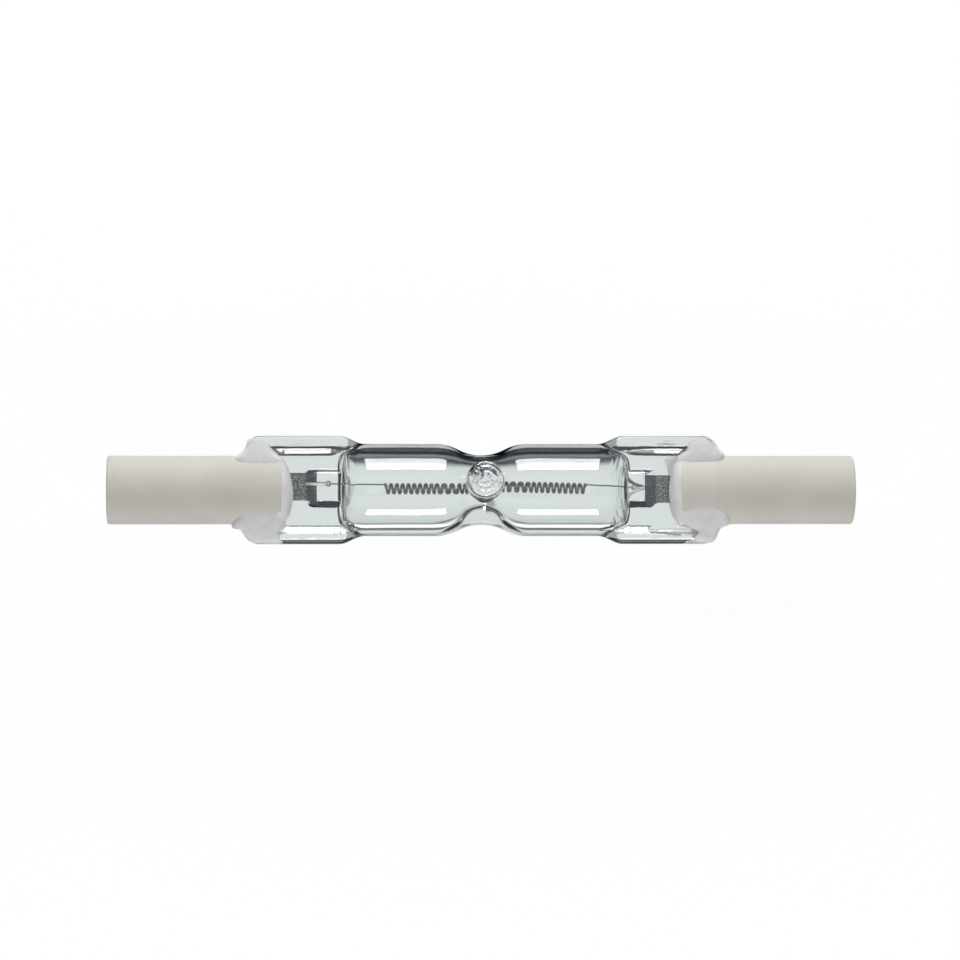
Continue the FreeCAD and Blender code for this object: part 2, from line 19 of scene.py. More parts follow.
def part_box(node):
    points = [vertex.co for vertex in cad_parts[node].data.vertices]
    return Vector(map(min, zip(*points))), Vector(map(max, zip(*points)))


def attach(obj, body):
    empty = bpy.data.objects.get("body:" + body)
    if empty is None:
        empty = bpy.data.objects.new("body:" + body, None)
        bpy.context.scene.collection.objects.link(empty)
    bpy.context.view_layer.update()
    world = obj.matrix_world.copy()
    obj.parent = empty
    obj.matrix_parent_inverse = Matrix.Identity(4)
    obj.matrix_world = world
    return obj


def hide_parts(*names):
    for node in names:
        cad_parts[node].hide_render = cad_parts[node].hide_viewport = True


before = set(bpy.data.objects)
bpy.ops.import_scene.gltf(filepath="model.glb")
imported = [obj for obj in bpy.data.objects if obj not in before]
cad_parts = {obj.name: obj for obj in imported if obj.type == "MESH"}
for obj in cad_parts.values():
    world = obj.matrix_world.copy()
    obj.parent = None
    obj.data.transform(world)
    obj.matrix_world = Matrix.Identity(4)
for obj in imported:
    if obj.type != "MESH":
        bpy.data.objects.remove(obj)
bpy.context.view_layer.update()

MM = 0.001
# What keeps a divisor off zero, and the share of its size that a closed end's last ring keeps
TINY = 1e-6
POLE = 1e-3
# How far off the lamp's axis each inner lead lies
LEFT_LEAD = 0.65
RIGHT_LEAD = 0.25
LOG = logging.getLogger("halogen_bulb")

Triple = tuple[float, float, float]
Colour = Triple
Stops = Sequence[tuple[float, Colour]]


class Side(enum.Enum):
    """One end of the lamp; the value is its sign along X."""

    LEFT = -1
    RIGHT = 1

    @property
    def word(self) -> str:
        """The end's name as the CAD nodes write it."""
        return self.name.lower()


# Shader graphs


class Signal:
    """A shader socket that takes part in Python arithmetic: each operation adds a Math node."""

    def __init__(self, graph: "Graph", socket: bpy.types.NodeSocket) -> None:
        """Keep the graph and the output socket that this signal stands for."""
        self.graph = graph
        self.socket = socket

    def _math(self, operation: str, first: Any, second: Any) -> "Signal":
        """Add a Math node for one operation and return its output."""
        return self.graph.signal("ShaderNodeMath", {"operation": operation}, {0: first, 1: second})

    def __add__(self, other: Any) -> "Signal":
        """This signal plus another value."""
        return self._math("ADD", self, other)

    def __radd__(self, other: Any) -> "Signal":
        """A value plus this signal."""
        return self._math("ADD", other, self)

    def __sub__(self, other: Any) -> "Signal":
        """This signal less another value."""
        return self._math("SUBTRACT", self, other)

    def __rsub__(self, other: Any) -> "Signal":
        """A value less this signal."""
        return self._math("SUBTRACT", other, self)

    def __mul__(self, other: Any) -> "Signal":
        """This signal times another value."""
        return self._math("MULTIPLY", self, other)

    def __rmul__(self, other: Any) -> "Signal":
        """A value times this signal."""
        return self._math("MULTIPLY", other, self)

    def __truediv__(self, other: Any) -> "Signal":
        """This signal divided by another value."""
        return self._math("DIVIDE", self, other)

    def highest(self, other: Any) -> "Signal":
        """The larger of this signal and another value."""
        return self._math("MAXIMUM", self, other)

    def bearing(self, other: Any) -> "Signal":
        """The angle, in radians, whose sine part is this signal and whose cosine part is the other."""
        return self._math("ARCTAN2", self, other)


class Graph:
    """A node tree that starts empty and grows by one method."""

    def __init__(self, tree: bpy.types.NodeTree) -> None:
        """Take over a node tree and clear it."""
        self.tree = tree
        tree.nodes.clear()

    def node(
        self,
        kind: str,
        settings: Mapping[str, Any] | None = None,
        inputs: Mapping[str | int, Any] | None = None,
    ) -> bpy.types.Node:
        """Create a node.

        Args:
            kind: the node's type, such as ShaderNodeMath.
            settings: properties that are set first; "stops" fills a colour ramp.
            inputs: a value, a Signal or an output socket for each input by name or number.

        Returns:
            The new node.
        """
        node = self.tree.nodes.new(kind)
        for key, setting in (settings or {}).items():
            if key == "stops":
                self._fill_ramp(node.color_ramp, setting)
            else:
                setattr(node, key, setting)
        for key, value in (inputs or {}).items():
            self._feed(node.inputs[key], value)
        return node

    def signal(
        self,
        kind: str,
        settings: Mapping[str, Any] | None = None,
        inputs: Mapping[str | int, Any] | None = None,
        output: str | int = 0,
    ) -> Signal:
        """Create a node and return one of its outputs as a signal."""
        return Signal(self, self.node(kind, settings, inputs).outputs[output])

    def _feed(self, socket: bpy.types.NodeSocket, value: Any) -> None:
        """Link a signal or an output to an input socket, or set the socket's own value.

        Args:
            socket: the input.
            value: a Signal, an output socket, a number, a vector, or a colour without its alpha.
        """
        if isinstance(value, Signal):
            value = value.socket
        if isinstance(value, bpy.types.NodeSocket):
            self.tree.links.new(value, socket)
        elif isinstance(value, tuple) and len(value) == 3 and socket.type == "RGBA":
            socket.default_value = (*value, 1.0)
        else:
            socket.default_value = value

    @staticmethod
    def _fill_ramp(ramp: bpy.types.ColorRamp, stops: Stops) -> None:
        """Set a colour ramp's stops.

        Args:
            ramp: the ramp of a new node.
            stops: a place from 0 to 1 and a colour for each stop, in order.
        """
        while len(ramp.elements) < len(stops):
            ramp.elements.new(1.0)
        for element, (place, colour) in zip(ramp.elements, stops):
            element.position = place
            element.color = (*colour, 1.0)

    def place(self, stretch: Triple = (1.0, 1.0, 1.0)) -> Signal:
        """Object coordinates, in metres times a stretch along each axis."""
        coordinates = self.signal("ShaderNodeTexCoord", output="Object")
        return self.signal("ShaderNodeMapping", {}, {"Vector": coordinates, "Scale": stretch})

    def noise(self, place: Signal, size: float, detail: float = 2.0, rough: float = 0.5) -> Signal:
        """Fractal noise from 0 to 1 whose largest lumps are about the given size in millimetres."""
        inputs = {"Vector": place, "Scale": 1.0 / (size * MM), "Detail": detail, "Roughness": rough}
        return self.signal("ShaderNodeTexNoise", {}, inputs)

    def ramp(self, level: Signal, stops: Stops) -> Signal:
        """A colour looked up on a ramp."""
        return self.signal("ShaderNodeValToRGB", {"stops": stops}, {"Fac": level})

    def blend(self, share: Any, first: Any, second: Any, way: str = "MIX") -> Signal:
        """A mix of two colours, by a Mix node's colour sockets: inputs 6 and 7 and output 2."""
        settings = {"data_type": "RGBA", "blend_type": way}
        return self.signal("ShaderNodeMix", settings, {0: share, 6: first, 7: second}, 2)

    def bump(self, height: Signal, depth: float, strength: float = 1.0) -> Signal:
        """A normal from a height field whose full range is the given depth in millimetres."""
        inputs = {"Height": height, "Distance": depth * MM, "Strength": strength}
        return self.signal("ShaderNodeBump", {}, inputs)

    def between(self, level: Signal, low: float, high: float) -> Signal:
        """A smooth step that goes from 0 to 1 as the level goes from low to high."""
        inputs = {"Value": level, "From Min": low, "From Max": high}
        return self.signal("ShaderNodeMapRange", {"interpolation_type": "SMOOTHSTEP"}, inputs)

    def axis(self, place: Signal, name: str) -> Signal:
        """One part, X, Y or Z, of a vector."""
        return self.signal("ShaderNodeSeparateXYZ", {}, {0: place}, name)

    def far_along(self, place: Signal) -> Signal:
        """Distance along the lamp from its middle, in metres."""
        along = self.axis(place, "X")
        return along.highest(along * -1.0)

    def ray(self, kind: str) -> Signal:
        """1 for rays of one kind, such as Camera, Glossy or Transmission, and 0 for the others."""
        return self.signal("ShaderNodeLightPath", output=f"Is {kind} Ray")

    def mix_shader(self, share: Any, first: Any, second: Any) -> Signal:
        """A mix of two shaders."""
        return self.signal("ShaderNodeMixShader", {}, {0: share, 1: first, 2: second})


def new_material(name: str) -> tuple[bpy.types.Material, Graph]:
    """Make an empty node material.

    Args:
        name: the material's name.

    Returns:
        The material and its graph.
    """
    material = bpy.data.materials.new(name)
    material.use_nodes = True
    return material, Graph(material.node_tree)


# Finishes


class Finish:
    """A finish of the lamp: a material with one Principled shader."""

    name: str

    def sockets(self, graph: Graph) -> dict[str, Any]:
        """What feeds the shader.

        Args:
            graph: the material's graph, which the finish adds its nodes to.

        Returns:
            A value or a signal for each of the shader's sockets that is set, by name.
        """
        raise NotImplementedError

    def material(self) -> bpy.types.Material:
        """Make a material with this finish.

        Returns:
            The new material.
        """
        material, graph = new_material(self.name)
        shader = graph.signal("ShaderNodeBsdfPrincipled", {}, self.sockets(graph))
        graph.node("ShaderNodeOutputMaterial", {}, {"Surface": shader})
        return material


@dataclass(frozen=True)
class QuartzFinish(Finish):
    """Clear fused quartz, with the faint waviness of blown and pressed glass."""

    name: str = "quartz"
    index: float = 1.458
    clear: Colour = (1.0, 1.0, 1.0)
    tinted: Colour = (0.975, 0.985, 0.985)
    stretch: Triple = (0.5, 1.0, 1.0)
    wave: float = 3.2
    wave_depth: float = 0.02

    def sockets(self, graph: Graph) -> dict[str, Any]:
        """Waves in the tint and the relief.

        Args:
            graph: the material's graph.

        Returns:
            The shader's sockets.
        """
        waves = graph.noise(graph.place(self.stretch), self.wave, detail=1.0)
        return {
            "Base Color": graph.blend(waves, self.clear, self.tinted),
            "Roughness": 0.0,
            "IOR": self.index,
            "Transmission Weight": 1.0,
            "Normal": graph.bump(waves, self.wave_depth),
        }


@dataclass(frozen=True)
class MetalFinish(Finish):
    """A drawn or rolled metal: a dark and a light tone in grains, with a fine relief."""

    name: str
    dark: Colour
    light: Colour
    grain: float
    stretch: Triple = (1.0, 1.0, 1.0)
    roughness: float = 0.35
    roughness_spread: float = 0.2
    relief: float = 0.01
    contrast: tuple[float, float] = (0.35, 0.65)

    def sockets(self, graph: Graph) -> dict[str, Any]:
        """Grains in the tone, the roughness and the relief.

        Args:
            graph: the material's graph.

        Returns:
            The shader's sockets.
        """
        grains = graph.noise(graph.place(self.stretch), self.grain, detail=4.0, rough=0.65)
        low, high = self.contrast
        return {
            "Base Color": graph.ramp(grains, [(low, self.dark), (high, self.light)]),
            "Metallic": 1.0,
            "Roughness": self.roughness + self.roughness_spread * (grains - 0.5),
            "Normal": graph.bump(grains, self.relief),
        }


@dataclass(frozen=True)
class FoilFinish(Finish):
    """Etched molybdenum foil: grey, dark and light specks, with a painted shade over its inner end."""

    name: str = "foil_metal"
    dark: Colour = (0.03, 0.035, 0.04)
    grey: Colour = (0.20, 0.22, 0.225)
    light: Colour = (0.66, 0.68, 0.67)
    # Painted shade: the colour of the foil's inner end, where it lies under the boss's ramp
    weld: Colour = (0.06, 0.07, 0.075)
    speck: float = 0.16
    shade_end: float = 18.4
    shade_fade: float = 0.5
    shade_share: float = 0.75
    roughness: float = 0.45
    roughness_spread: float = 0.2
    relief: float = 0.03

    def sockets(self, graph: Graph) -> dict[str, Any]:
        """Specks in the tone, the roughness and the relief, and a painted shade over the inner end in the
        tone.

        Args:
            graph: the material's graph.

        Returns:
            The shader's sockets.
        """
        place = graph.place()
        specks = graph.noise(place, self.speck, rough=0.6)
        stops = [(0.36, self.dark), (0.47, self.grey), (0.58, self.grey), (0.68, self.light)]
        # Painted shade darkens the foil inward of the boss's foot
        shade_start = self.shade_end - self.shade_fade
        shaded = 1.0 - graph.between(graph.far_along(place), shade_start * MM, self.shade_end * MM)
        return {
            "Base Color": graph.blend(self.shade_share * shaded, graph.ramp(specks, stops), self.weld),
            "Metallic": 1.0,
            "Roughness": self.roughness + self.roughness_spread * specks,
            "Normal": graph.bump(specks, self.relief),
        }


@dataclass(frozen=True)
class CeramicFinish(Finish):
    """Unglazed pressed steatite: warm white, faintly mottled, lighter on the right base's cheeks."""

    name: str = "steatite"
    warm: Colour = (0.68, 0.65, 0.575)
    pale: Colour = (0.75, 0.725, 0.66)
    cheek: Colour = (0.79, 0.77, 0.69)
    cheek_end: float = 24.6
    cheek_fade: float = 0.25
    cheek_share: float = 0.5
    cloud: float = 4.0
    speck: float = 0.35
    speck_share: float = 0.3
    roughness: float = 0.55
    roughness_spread: float = 0.2
    relief: float = 0.012
    gloss: float = 0.15

    def sockets(self, graph: Graph) -> dict[str, Any]:
        """Clouds and specks in the tone, lighter over the cheeks, and specks in the relief.

        Args:
            graph: the material's graph.

        Returns:
            The shader's sockets.
        """
        place = graph.place()
        clouds = graph.noise(place, self.cloud, detail=3.0)
        specks = graph.noise(place, self.speck, detail=3.0, rough=0.6)
        along = graph.axis(place, "X")
        near = 1.0 - graph.between(along, (self.cheek_end - self.cheek_fade) * MM, self.cheek_end * MM)
        cheeks = near * graph.between(along, 0.0, self.cheek_fade * MM)
        mottle = (1.0 - self.speck_share) * clouds + self.speck_share * specks
        body = graph.ramp(mottle, [(0.3, self.warm), (0.7, self.pale)])
        return {
            "Base Color": graph.blend(cheeks * self.cheek_share, body, self.cheek),
            "Roughness": self.roughness + self.roughness_spread * specks,
            "Specular IOR Level": self.gloss,
            "Normal": graph.bump(specks, self.relief),
        }


@dataclass(frozen=True)
class CementFinish(Finish):
    """Set base cement: matt, smooth and white, with a few faint pores."""

    name: str = "base_cement"
    shade: Colour = (0.84, 0.84, 0.83)
    white: Colour = (0.92, 0.92, 0.91)
    lump: float = 1.2
    grit: float = 0.2
    grit_share: float = 0.3
    roughness: float = 0.6
    roughness_spread: float = 0.25
    relief: float = 0.04
    gloss: float = 0.15

    def sockets(self, graph: Graph) -> dict[str, Any]:
        """Lumps and grit in the tone and the relief, and grit in the roughness.

        Args:
            graph: the material's graph.

        Returns:
            The shader's sockets.
        """
        place = graph.place()
        lumps = graph.noise(place, self.lump, detail=3.0)
        grit = graph.noise(place, self.grit)
        level = (1.0 - self.grit_share) * lumps + self.grit_share * grit
        return {
            "Base Color": graph.ramp(level, [(0.35, self.shade), (0.6, self.white)]),
            "Roughness": self.roughness + self.roughness_spread * grit,
            "Specular IOR Level": self.gloss,
            "Normal": graph.bump(level, self.relief),
        }


TUNGSTEN = MetalFinish("tungsten", (0.05, 0.05, 0.055), (0.27, 0.27, 0.28), 0.12, roughness=0.42)
LEAD_METAL = MetalFinish(
    "lead_metal", (0.34, 0.34, 0.33), (0.85, 0.84, 0.81), 0.2, stretch=(0.15, 1.0, 1.0), roughness=0.2
)
CONTACT_METAL = MetalFinish(
    "contact_metal", (0.52, 0.51, 0.48), (0.72, 0.71, 0.68), 0.3, stretch=(3.0, 1.0, 1.0)
)


# Surfaces


@dataclass
class Surface:
    """A mesh as whole arrays: points in millimetres, four-sided faces and end faces."""

    points: np.ndarray
    faces: np.ndarray
    ends: list[list[int]]

    def turned_in(self) -> "Surface":
        """The same surface with its faces turned the other way."""
        ends = [end[::-1] for end in self.ends]
        return Surface(self.points, self.faces[:, ::-1], ends)

    def mesh(self, name: str) -> bpy.types.Mesh:
        """Make a Blender mesh of the surface.

        Args:
            name: the mesh's name.

        Returns:
            The mesh, still in millimetres.
        """
        mesh = bpy.data.meshes.new(name)
        faces = self.faces.tolist() + self.ends
        mesh.from_pydata(self.points.tolist(), [], faces)
        mesh.update()
        return mesh


def tube_surface(rings: np.ndarray) -> Surface:
    """Close a stack of rings into a surface.

    Args:
        rings: points on a grid, ring by ring along the path, each ring counterclockwise about it.

    Returns:
        The closed surface, with one flat face on each end.
    """
    count, around = rings.shape[:2]
    index = np.arange(count * around).reshape(count, around)
    beside = np.roll(index, -1, axis=1)
    faces = np.stack([index[:-1], beside[:-1], beside[1:], index[1:]], axis=-1).reshape(-1, 4)
    ends = [index[0][::-1].tolist(), index[-1].tolist()]
    return Surface(rings.reshape(-1, 3), faces, ends)


def turned_surface(radius: np.ndarray, height: np.ndarray, around: int) -> Surface:
    """Turn a profile about Z: a point at angle a is (radius cos a, radius sin a, height).

    Args:
        radius: how far from Z each point of the profile lies.
        height: the height of each point.
        around: how many points there are on a ring.

    Returns:
        The closed surface.
    """
    angle = np.linspace(0.0, 2.0 * math.pi, around, endpoint=False)
    rings = np.empty((len(radius), around, 3))
    rings[..., 0] = radius[:, None] * np.cos(angle)
    rings[..., 1] = radius[:, None] * np.sin(angle)
    rings[..., 2] = height[:, None]
    return tube_surface(rings)


def smooth_least(first: np.ndarray, second: np.ndarray, reach: float) -> np.ndarray:
    """The lesser of two heights, rounded where they lie within reach of each other.

    With h = 1/2 + (b - a) / 2k held from 0 to 1, it is b + (a - b) h - k h (1 - h).
    """
    share = np.clip(0.5 + 0.5 * (second - first) / reach, 0.0, 1.0)
    return second + (first - second) * share - reach * share * (1.0 - share)


def smooth_most(first: np.ndarray, second: np.ndarray, reach: float) -> np.ndarray:
    """The greater of two heights, rounded where they lie within reach of each other."""
    return -smooth_least(-first, -second, reach)


def smooth_step(value: np.ndarray, low: float, high: float) -> np.ndarray:
    """Goes from 0 to 1 along a cubic as the value goes from low to high."""
    share = np.clip((value - low) / (high - low), 0.0, 1.0)
    return share * share * (3.0 - 2.0 * share)


def runs(*spans: tuple[float, float, float]) -> np.ndarray:
    """Places along the lamp: spans of start, end and spacing, each on from the one before."""
    parts = [np.linspace(low, high, round((high - low) / gap), endpoint=False) for low, high, gap in spans]
    return np.concatenate([*parts, [spans[-1][1]]])


def mirrored(half: np.ndarray) -> np.ndarray:
    """Places along one half of the lamp, starting at its middle, and the same ones on the other half."""
    return np.concatenate([-half[:0:-1], half])


def finished(mesh: bpy.types.Mesh, name: str, slot: str, *replaced: str) -> bpy.types.Object:
    """Scale a mesh to metres and make it a piece that rides on the lamp.

    Args:
        mesh: the mesh, in millimetres.
        name: the piece's name.
        slot: the record's material slot; not used.
        replaced: the CAD nodes that it stands for.

    Returns:
        The new object.
    """
    mesh.transform(Matrix.Scale(MM, 4))
    mesh.shade_smooth()
    piece = bpy.data.objects.new(name, mesh)
    bpy.context.scene.collection.objects.link(piece)
    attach(piece, "root")
    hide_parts(*replaced)
    LOG.info("%s: %d faces", name, len(mesh.polygons))
    return piece


def combined(
    base: bpy.types.Mesh, tool: bpy.types.Mesh, operation: str, before: Sequence[Mapping[str, Any]] = ()
) -> bpy.types.Mesh:
    """The boolean of two closed meshes.

    Args:
        base: the mesh that is kept or cut.
        tool: the mesh that is added or cut away.
        operation: UNION or DIFFERENCE.
        before: modifiers for the base to go through first, each its type and settings.

    Returns:
        A new mesh. The two given meshes and their helper objects are gone.
    """
    scene = bpy.context.scene.collection
    base_object = bpy.data.objects.new("boolean_base", base)
    tool_object = bpy.data.objects.new("boolean_tool", tool)
    for helper in (base_object, tool_object):
        scene.objects.link(helper)
    for settings in before:
        modifier = base_object.modifiers.new(settings["type"].lower(), settings["type"])
        for key, setting in settings.items():
            if key != "type":
                setattr(modifier, key, setting)
    modifier = base_object.modifiers.new("boolean", "BOOLEAN")
    modifier.operation = operation
    modifier.solver = "MANIFOLD"
    modifier.object = tool_object
    graph = bpy.context.evaluated_depsgraph_get()
    result = bpy.data.meshes.new_from_object(base_object.evaluated_get(graph))
    result.materials.clear()
    for helper in (base_object, tool_object):
        bpy.data.objects.remove(helper)
    for used in (base, tool):
        bpy.data.meshes.remove(used)
    return result


def joined(name: str, *meshes: bpy.types.Mesh) -> bpy.types.Mesh:
    """Make one mesh of several.

    Args:
        name: the new mesh's name.
        meshes: the meshes that go into it, which are then gone.

    Returns:
        The new mesh.
    """
    whole = bmesh.new()
    for mesh in meshes:
        whole.from_mesh(mesh)
        bpy.data.meshes.remove(mesh)
    result = bpy.data.meshes.new(name)
    whole.to_mesh(result)
    whole.free()
    return result


# Sub-assemblies


@dataclass(frozen=True)
class Dent:
    """A long bubble that left a hollow in a pinch's front face: its middle, half sizes and depth."""

    x: float
    y: float
    half_length: float
    half_width: float
    depth: float

    def sunk(self, x: np.ndarray, y: np.ndarray) -> np.ndarray:
        """How far the face lies lower: depth · (1 - u² - v²)^½ for the places u and v in half sizes."""
        out = ((x - self.x) / self.half_length) ** 2 + ((y - self.y) / self.half_width) ** 2
        return self.depth * np.sqrt(np.maximum(1.0 - out, 0.0))


@dataclass
class QuartzEnvelope:
    """The quartz envelope: chambers, waist, exhaust tip, shoulders and pinch seals."""

    # Tube, waist and bore
    tube: float = 4.848
    waist: float = 3.65
    waist_half: float = 4.80
    bore: float = 3.70
    waist_bore: float = 3.00
    waist_bore_half: float = 5.40
    waist_wall: float = 1.75
    waist_wall_half: float = 5.20
    waist_wall_round: float = 0.25
    neck: float = 0.1
    neck_half: float = 0.65
    neck_start: float = 0.15
    neck_full: float = 0.4

    # Shoulders
    flare_start: float = 12.3
    flare_end: float = 14.9
    shoulder: float = 11.4
    left_jaw: float = 15.2
    right_jaw: float = 15.75
    end_half: float = 4.2
    left_ripple: float = 0.0015
    right_ripple: float = 0.011
    ripple_pitch: float = 0.5
    ripple_bow: float = 0.06
    ripple_start: float = 2.6
    ripple_full: float = 1.6
    crease: float = 0.06
    crease_place: float = -13.66
    crease_half: float = 0.2
    crease_length: float = 1.9
    foot_round: float = 0.3

    # Pinch seals
    pinch_half: float = 5.70
    pinch_full: float = 14.4
    pinch_end: float = 24.35
    corner: float = 1.0
    upper_edge: float = 9.0
    lower_edge: float = 4.2
    edge_round: float = 0.30
    web: float = 1.20
    web_half: float = 3.66
    rail: float = 1.80
    rail_slope: float = 0.80
    lip: float = 0.14
    lip_height: float = 0.18
    wedge: float = 0.38
    wedge_start: float = 15.2
    left_wedge: float = 0.45
    right_wedge: float = 1.7
    waver: float = 0.03
    waver_pitch: float = 0.9
    second_waver: float = 0.6
    second_rate: float = 2.4
    boss: float = 2.00
    boss_half: float = 2.00
    upper_side: float = 0.5
    lower_side: float = 0.75
    boss_middle: float = 0.12
    boss_end: float = 17.45
    boss_foot: float = 18.45
    dents: tuple[Dent, ...] = (
        Dent(20.2, -4.2, 2.6, 0.5, 0.36),
        Dent(19.4, 5.0, 1.9, 0.16, 0.08),
        Dent(-19.2, 5.0, 1.5, 0.25, 0.06),
    )

    # The hollow's ends
    left_cavity_end: float = 14.4
    right_cavity_end: float = 15.1
    cavity_end_height: float = 0.45
    cavity_round: float = 1.2
    beak_half: float = 1.80
    beak_end_half: float = 0.22
    beak_fall: float = 0.75
    beak_end: float = 17.2
    beak_round: float = 0.3
    bend_start: float = -1.5
    bend_end: float = 0.5

    # The exhaust tip
    tip_radius: float = 1.95
    tip_middle: float = 4.45
    tip_top: float = 5.33
    tip_foot: float = 1.4
    tip_spread: float = 0.1
    tip_power: float = 0.4
    tip_pole: float = 1e-5
    tip_lean: float = 13.5
    tip_offset: float = 0.25
    top_start: float = 0.1
    top_full: float = 0.5
    rim_start: float = 0.75
    swirl: float = 0.04
    swirl_width: float = 0.6
    pit: float = 0.018
    pit_width: float = 0.42
    pit_slants: tuple[tuple[float, float], ...] = ((1.0, 0.3), (-0.2, 0.9))
    hole: float = 0.75
    hole_top: float = 4.5
    hole_power: float = 0.7
    hole_place: tuple[float, float] = (-0.45, 0.9)

    # Mesh counts
    skin_sides: int = 208
    hollow_sides: int = 120
    crowding: float = 0.2
    tip_rings: int = 76
    tip_sides: int = 104
    hole_rings: int = 40
    hole_sides: int = 64

    @staticmethod
    def waisted(x: np.ndarray, full: float, narrow: float, half: float) -> np.ndarray:
        """Radius of a tube that narrows to a waist in two equal arcs on each side.

        With N the waist's half length and D the drop, both arcs have radius (N² + D²) / 4D: one
        is hollow about the middle, and the other is crowned about the waist's end.

        Args:
            x: places along the lamp.
            full: the radius beyond the waist.
            narrow: the radius at the waist's middle.
            half: half the waist's length.

        Returns:
            The radius at each place.
        """
        away = np.clip(np.abs(x), 0.0, half)
        drop = full - narrow
        bend = (half**2 + drop**2) / (4.0 * drop)
        hollow = narrow + bend - np.sqrt(bend**2 - np.minimum(away, half / 2) ** 2)
        rest = np.minimum(half - away, half / 2)
        crowned = full - bend + np.sqrt(bend**2 - rest**2)
        return np.where(away < half / 2, hollow, crowned)

    def radius(self, x: np.ndarray) -> np.ndarray:
        """The tube's outer radius."""
        return self.waisted(x, self.tube, self.waist, self.waist_half)

    def half_width(self, x: np.ndarray) -> np.ndarray:
        """Half the envelope's width: the waisted tube, a cosine flare, and the pinch's round corners.

        Args:
            x: places along the lamp.

        Returns:
            The half width at each place.
        """
        away = np.abs(x)
        share = np.clip((away - self.flare_start) / (self.flare_end - self.flare_start), 0.0, 1.0)
        flare = (self.pinch_half - self.tube) * (0.5 - 0.5 * np.cos(math.pi * share))
        turn = np.clip((away - self.pinch_end) / self.corner + 1.0, 0.0, 1.0)
        return self.radius(x) + flare - self.corner * (1.0 - np.sqrt(1.0 - turn**2))

    def turns_round(self, count: int) -> np.ndarray:
        """Angles round the lamp, closer together over its flat faces: u + c sin 2u for even u."""
        even = np.linspace(0.0, 2.0 * math.pi, count, endpoint=False)[None, :]
        return even + self.crowding * np.sin(2.0 * even)

    def domed(self, x: np.ndarray, y: np.ndarray) -> np.ndarray:
        """Share of its round height that the tube keeps: (1 - t²)^½ from shoulder to jaw.

        Ripples bowed by y² run across each chamber's end, with a deeper crease like them in the left
        one. The waist has a groove below the tip.

        Args:
            x: places along the lamp.
            y: places across it.

        Returns:
            The share at each place.
        """
        away = np.abs(x)
        jaw = np.where(x < 0.0, self.left_jaw, self.right_jaw)
        share = np.clip((away - self.shoulder) / (jaw - self.shoulder), 0.0, 1.0)
        turn = 2.0 * math.pi * (away - self.ripple_bow * y**2) / self.ripple_pitch
        depth = np.where(x < 0.0, self.left_ripple, self.right_ripple)
        ripple = depth * np.sin(turn) * smooth_step(away, jaw - self.ripple_start, jaw - self.ripple_full)
        below = smooth_step(-y / self.waist, self.neck_start, self.neck_full)
        neck = self.neck * np.exp(-(((x - self.tip_offset) / self.neck_half) ** 2)) * below
        beside = (x - self.crease_place + self.ripple_bow * y**2) / self.crease_half
        within = np.maximum(1.0 - (y / self.crease_length) ** 2, 0.0)
        crease = self.crease * np.exp(-(beside**2)) * within
        return (1.0 + ripple - neck - crease) * np.sqrt(1.0 - share**2)

    def pressed(self, x: np.ndarray, y: np.ndarray, front: np.ndarray) -> np.ndarray:
        """Height of the pinch seals.

        Rails stand along the flat web's two edges, each with a gentle slope up to a steep lip that
        wavers a little; the upper lip is a wide wedge by the jaw. On the front face a boss stands
        over the inner lead. It ends in a ramp, and its upper side is a quarter ellipse.

        Args:
            x: places along the lamp.
            y: places across it.
            front: whether each place is on the front face.

        Returns:
            The height off the middle plane at each place.
        """
        away = np.abs(x)
        turn = 2.0 * math.pi * x / self.waver_pitch
        waver = np.sin(turn) + self.second_waver * np.sin(self.second_rate * turn)
        past = np.abs(y) - self.web_half + self.waver * waver
        reach = np.where(x < 0.0, self.left_wedge, self.right_wedge)
        near = self.wedge * np.exp(-np.maximum(away - self.wedge_start, 0.0) / reach) * (y > 0.0)
        slope = np.clip(past / (self.rail_slope - near), 0.0, 1.0)
        lip = np.clip((past - self.rail_slope + near) / (self.lip + near), 0.0, 1.0)
        lip_height = self.lip_height + near
        rails = (self.rail - self.web - lip_height) * slope + lip_height * lip
        ramp = np.clip((self.boss_foot - away) / (self.boss_foot - self.boss_end), 0.0, 1.0)
        upper = np.clip((self.boss_half + self.boss_middle - y) / self.upper_side, 0.0, 1.0)
        lower = np.clip((self.boss_half - self.boss_middle + y) / self.lower_side, 0.0, 1.0)
        sides = np.sqrt(upper * (2.0 - upper)) * lower
        boss = (self.boss - self.web) * np.clip(1.0 - np.hypot(1.0 - ramp, 1.0 - sides), 0.0, 1.0)
        sunk = sum(dent.sunk(x, y) for dent in self.dents)
        return self.web + np.maximum(rails, boss * front) - sunk * front

